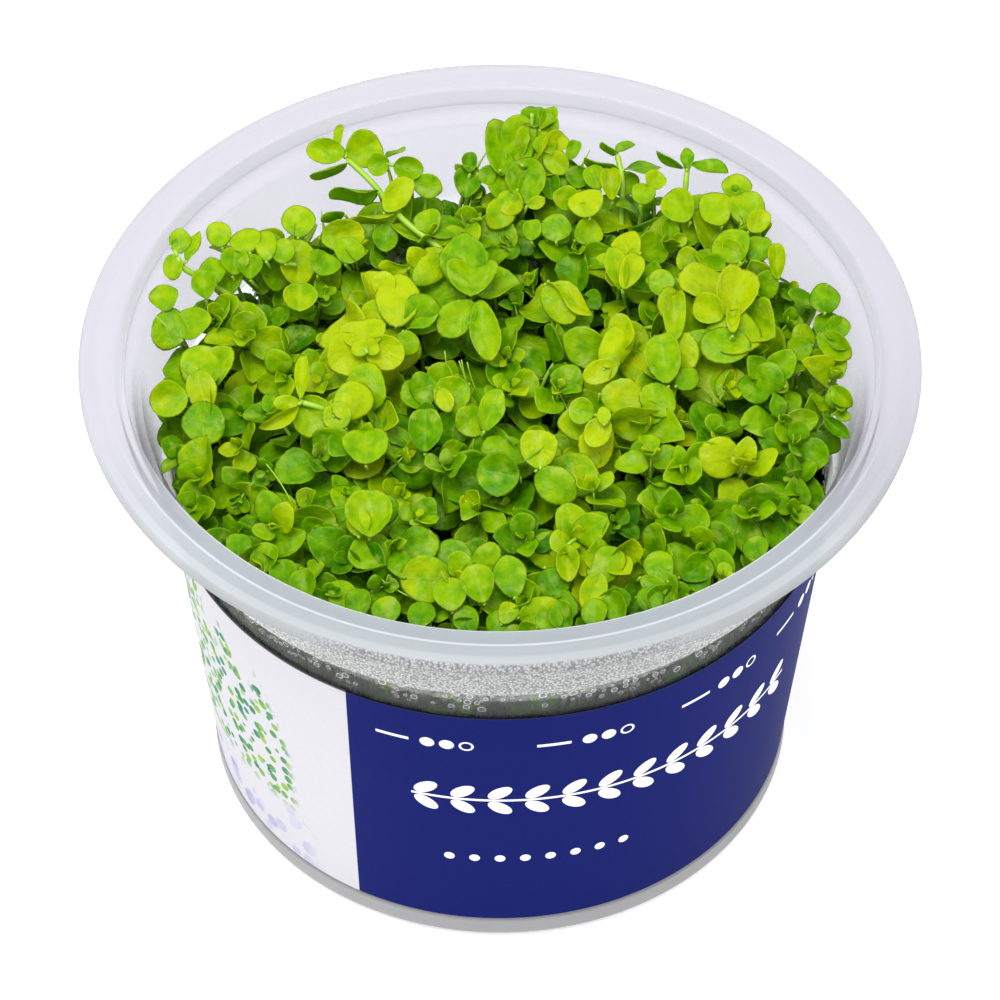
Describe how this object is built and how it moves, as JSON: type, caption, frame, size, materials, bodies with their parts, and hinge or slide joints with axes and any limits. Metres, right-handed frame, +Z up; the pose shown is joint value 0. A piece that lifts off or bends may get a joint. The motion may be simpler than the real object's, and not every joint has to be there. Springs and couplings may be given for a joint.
{
  "type": "aquarium plant in a tissue-culture cup",
  "caption": "Small clear plastic culture cup with a wide rim and a wrapped label, packed with young round-leaved aquarium plants on thin stems.",
  "frame": {"origin": "centre of the foot, on the surface that the cup stands on", "axes": "+Z up along the cup's axis, -Y towards the side of the label that the picture shows"},
  "size_m": [0.1, 0.1, 0.0675],
  "materials": {
    "cup_plastic": "thin clear to milky polypropylene, smooth",
    "label_paper": "printed film-faced paper, satin",
    "gel": "clear to cloudy agar gel, wet",
    "leaf": "fresh yellow-green leaf, waxy and slightly glossy"
  },
  "bodies": {
    "root": {"cup": "cup_plastic", "label": "label_paper", "nutrient_gel": "gel", "shoot_01": "leaf", "shoot_02": "leaf", "shoot_03": "leaf", "shoot_04": "leaf", "shoot_05": "leaf", "shoot_06": "leaf", "shoot_07": "leaf", "shoot_08": "leaf", "shoot_09": "leaf", "shoot_10": "leaf", "shoot_11": "leaf", "shoot_12": "leaf", "shoot_13": "leaf", "shoot_14": "leaf", "shoot_15": "leaf", "shoot_16": "leaf", "shoot_17": "leaf", "shoot_18": "leaf", "shoot_19": "leaf", "shoot_20": "leaf", "shoot_21": "leaf", "shoot_22": "leaf", "shoot_23": "leaf", "shoot_24": "leaf", "shoot_25": "leaf", "shoot_26": "leaf", "shoot_27": "leaf", "shoot_28": "leaf", "shoot_29": "leaf", "shoot_30": "leaf", "shoot_31": "leaf", "shoot_32": "leaf", "shoot_33": "leaf", "shoot_34": "leaf", "shoot_35": "leaf", "shoot_36": "leaf", "shoot_37": "leaf", "shoot_38": "leaf", "shoot_39": "leaf", "shoot_40": "leaf", "shoot_41": "leaf", "shoot_42": "leaf", "shoot_43": "leaf", "shoot_44": "leaf", "shoot_45": "leaf", "shoot_46": "leaf", "shoot_47": "leaf", "shoot_48": "leaf", "shoot_49": "leaf", "shoot_50": "leaf", "shoot_51": "leaf", "shoot_52": "leaf"}
  },
  "joints": []
}
